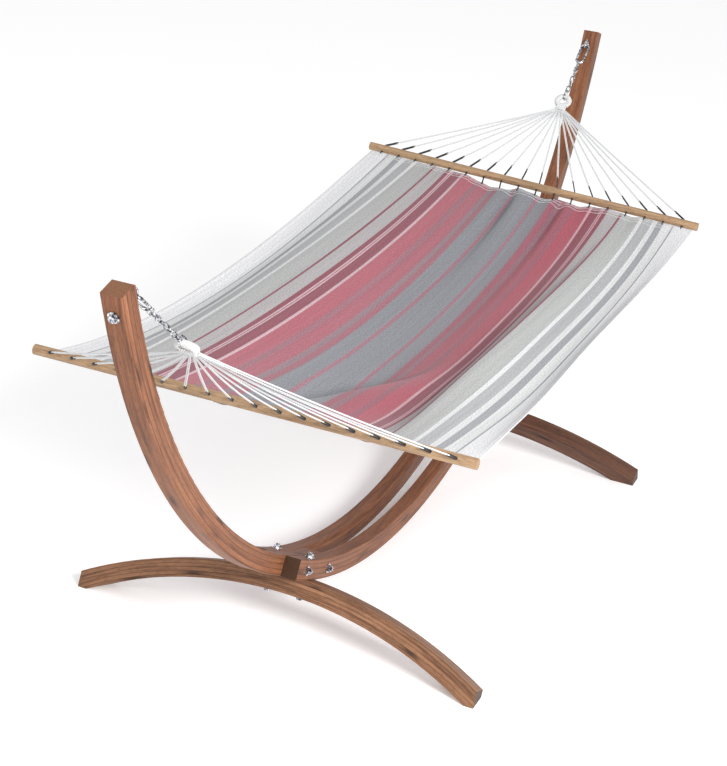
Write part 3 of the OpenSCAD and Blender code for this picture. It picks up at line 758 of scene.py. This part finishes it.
def make_grid():
    """Middle surface of the cloth on a grid of rows (near to far) and columns (right to left)."""
    near, far = END["near"], END["far"]
    # closer rows at the hems and closer columns at the crease
    rows = np.r_[np.linspace(0, 0.06, 46)[:-1], np.linspace(0.06, 0.94, 190)[:-1],
                 np.linspace(0.94, 1, 46)]
    cols = np.unique(np.r_[np.linspace(-HALF, HALF, 331), np.linspace(-0.350, -0.310, 31)])
    u, s = rows[:, None], cols[None, :]
    hem_n, hem_f = near.bar + np.array(HEM["near"]), far.bar + np.array(HEM["far"])
    span = hem_f[0] - hem_n[0]
    dn, df = u * span, (1 - u) * span
    arch = 4 * u * (1 - u)
    sag, lean, flat = (softened(STATIONS, v, s, 0.013) for v in (SAG, LEAN, FLAT))
    z = hem_n[2] * (1 - u) + (hem_f[2] + s * math.tan(far.roll)) * u
    z = z - arch * (sag + (2 * u - 1) * lean + (arch - 0.8) * flat)
    # each cross-section keeps its length, except near the bars, where it keeps its place
    slope = np.gradient(z, cols, axis=1)
    shrink = np.sqrt(np.clip(1 - slope ** 2, 0.05, 1))
    step = (shrink[:, 1:] + shrink[:, :-1]) / 2 * np.diff(cols)
    y = np.concatenate([np.zeros((len(rows), 1)), np.cumsum(step, 1)], 1)
    y = y - y[:, np.argmin(np.abs(cols))][:, None]
    keep = np.exp(-np.minimum(dn, df) / 0.06)
    y = y * (1 - keep) + s * keep
    # slack hems, rolling out into short soft folds
    for name, d in (("near", dn), ("far", df)):
        reach = SLACK_REACH[name]
        slack = softened(*DROOP[name], s, 0.009) / 1000
        wide = softened(*DROOP[name], s, 0.030) / 1000
        z = z - slack * np.exp(-d / reach) - wide * (np.exp(-d / 0.30) - np.exp(-d / reach)) * 0.5
        wave = np.cos(TURN * s / PITCH) * bell(s, 0.42)
        z = z - 0.0022 * wave * np.exp(-((d - 0.03) / 0.05) ** 2)
    # the folds rise from the far hem and fade along the bed
    grow = 1 - np.exp(-df / 0.05)
    for at, width, height, length in FOLDS:
        z = z + height * bell(s - at, width) * np.exp(-df / length) * grow
    # fold that stands up near the near bar, right of the middle
    at = -0.035 - 0.14 * np.clip((dn - 0.35) / 0.5, -0.5, 1.2)
    beyond = dn - LIP_FROM
    rise = bell(np.clip(beyond, 0, None), 0.20) * bell(np.clip(beyond, None, 0), 0.30)
    off = s - at + 0.055
    z = z + LIP_HEIGHT * rise * np.where(off > 0, bell(off, 0.027), bell(off, 0.075))
    z = z - LIP_DIP * rise * bell(s - at - 0.045, 0.032)
    # sharp crease where the bed drops away from the right wing
    past = s - CREASE
    drop = np.clip(past / CREASE_WIDE, 0, 1)
    drop = drop * np.exp(-np.clip(past - CREASE_WIDE, 0, None) / 0.035)
    z = z - CREASE_DEEP * drop * np.clip(arch * 1.6 - 0.5, 0, 1)
    z = z + arch * sum(h * np.sin(a * s + b * u + c) for h, a, b, c in WAVES)
    x = hem_n[0] + span * u + 0 * s
    p = np.stack([x, y, z], -1)
    a, b = np.gradient(p, axis=0), np.gradient(p, axis=1)
    n = np.cross(a, b)
    n /= np.linalg.norm(n, axis=-1)[..., None]
    return rows, cols, span, p, n


ROWS, COLS, SPAN, BED, BED_N = make_grid()


def on_bed(u, s, lift=0.0):
    """Point of the cloth's surface at rows u and places s across, raised along its normal."""
    i = np.clip(np.searchsorted(ROWS, u) - 1, 0, len(ROWS) - 2)
    j = np.clip(np.searchsorted(COLS, s) - 1, 0, len(COLS) - 2)
    fu = ((u - ROWS[i]) / (ROWS[i + 1] - ROWS[i]))[..., None]
    fs = ((s - COLS[j]) / (COLS[j + 1] - COLS[j]))[..., None]

    def mixed(g):
        return (g[i, j] * (1 - fu) * (1 - fs) + g[i + 1, j] * fu * (1 - fs)
                + g[i, j + 1] * (1 - fu) * fs + g[i + 1, j + 1] * fu * fs)

    return mixed(BED) + mixed(BED_N) * np.broadcast_to(lift, np.shape(u))[..., None]


def make_cloth():
    """The cloth as one closed sheet, thicker along its turned edges."""
    u, s = np.meshgrid(ROWS, COLS, indexing="ij")
    d_end = np.minimum(u, 1 - u) * SPAN
    d_side = HALF - np.abs(s)

    def doubled(d, width):
        return np.clip((width - d) / 0.002, 0, 1)

    t = THICK + DOUBLE * np.maximum(doubled(d_end, HEM_WIDE), doubled(d_side, SEAM_WIDE))
    uv = np.stack([u * SPAN, s], -1)
    b = Build()
    up, down = BED + BED_N * t[..., None] / 2, BED - BED_N * t[..., None] / 2
    b.grid(up, uv, flip=True)
    b.grid(down, uv)
    for a, c, w, flip in (
        (up[0], down[0], uv[0], False), (up[-1], down[-1], uv[-1], True),
        (up[:, 0], down[:, 0], uv[:, 0], True), (up[:, -1], down[:, -1], uv[:, -1], False),
    ):
        b.grid(np.stack([a, c]), np.stack([w, w]), flip=flip)
    cloth = b.make("striped_bed", "cloth", MATS["cloth"])
    weld = cloth.modifiers.new("weld", "WELD")
    weld.merge_threshold = 1e-5
    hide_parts("fabric_bed")
    return cloth


def stitches():
    """White zigzag rows along both hems and a running stitch along both side seams."""
    b = Build()
    for end in (0, 1):
        for row in STITCH_ROWS:
            s = np.arange(-HALF + 0.006, HALF - 0.006, ZIGZAG_STEP)
            d = row + ZIGZAG * np.where(np.arange(len(s)) % 2 == 0, 1, -1)
            u = d / SPAN if end == 0 else 1 - d / SPAN
            b.tube(on_bed(u, s, 0.0015), THREAD_R, 5)
    for side in (-1, 1):
        u = np.linspace(0.004, 0.996, 700)
        s = np.full_like(u, side * (HALF - SEAM_IN))
        lift = 0.0012 + 0.0004 * np.sin(np.arange(len(u)) * math.pi / 2)
        b.tube(on_bed(u, s, lift), SEAM_THREAD_R, 5)
    return b.make("hem_stitches", "cloth", MATS["thread"])


cloth = make_cloth()
thread = stitches()
for e in END.values():
    wrapped_ring(e)
    neck_and_cords(e)
    black_loops(e)


# -------------------------------------------------------------- stage and view
FLOOR_HALF, FLOOR_CELLS = 80.0, 8
FLOOR_COLOUR, FLOOR_GLOW, WORLD_LIGHT = 0.96, 0.18, 0.78
# The camera that was fitted to the photograph
LENS, SENSOR, CLIP_END = 82.99, 36.0, 200
CAMERA_AT = (-4.590, -1.705, 2.542)
FORWARD, DOWN = unit([0.8572, 0.3386, -0.3881]), unit([-0.3255, -0.2277, -0.9177])


def place(ob, x, y, z, at):
    """Turns an object's axes to x, y and z, and moves it."""
    m = np.eye(4)
    m[:3, 0], m[:3, 1], m[:3, 2], m[:3, 3] = x, y, z, at
    ob.matrix_world = Matrix(m.tolist())


def stage_floor():
    me = bpy.data.meshes.new("floor")
    n, step = FLOOR_CELLS, 2 * FLOOR_HALF / FLOOR_CELLS
    co = [(-FLOOR_HALF + step * i, -FLOOR_HALF + step * j, 0.0)
          for i in range(n + 1) for j in range(n + 1)]
    corners = [i * (n + 1) + j for i in range(n) for j in range(n)]
    me.from_pydata(co, [], [(c, c + n + 1, c + n + 2, c + 1) for c in corners])
    m = Mat("floor", Roughness=0.9, Specular_IOR_Level=0.1,
            Base_Color=(FLOOR_COLOUR, FLOOR_COLOUR, FLOOR_COLOUR, 1),
            Emission_Color=(1, 1, 1, 1), Emission_Strength=FLOOR_GLOW)
    me.materials.append(m.m)
    add_object("floor", me)


def area_light(name, at, target, size, power):
    """A round lamp that faces the target."""
    data = bpy.data.lights.new(name, "AREA")
    data.shape, data.size, data.energy = "DISK", size, power
    z = unit(np.array(at) - np.array(target))
    x = unit(np.cross([0, 0, 1], z))
    place(add_object(name, data), x, np.cross(z, x), z, at)


stage_floor()
area_light("key", (-3.2, -3.9, 3.2), (-0.4, 0, 0.6), size=2.0, power=330)
area_light("fill", (-4.6, 2.6, 3.6), (0, 0, 0.7), size=3.5, power=30)
world = bpy.data.worlds.new("studio")
bpy.context.scene.world = world
world.use_nodes = True
back = world.node_tree.nodes["Background"]
back.inputs["Color"].default_value = (1.0, 1.0, 1.0, 1)
back.inputs["Strength"].default_value = WORLD_LIGHT

lens = bpy.data.cameras.new("camera")
lens.lens, lens.sensor_width, lens.clip_end = LENS, SENSOR, CLIP_END
camera = add_object("camera", lens)
place(camera, np.cross(DOWN, FORWARD), -DOWN, -FORWARD, CAMERA_AT)
bpy.context.scene.camera = camera
bpy.context.scene.view_settings.view_transform = "Standard"
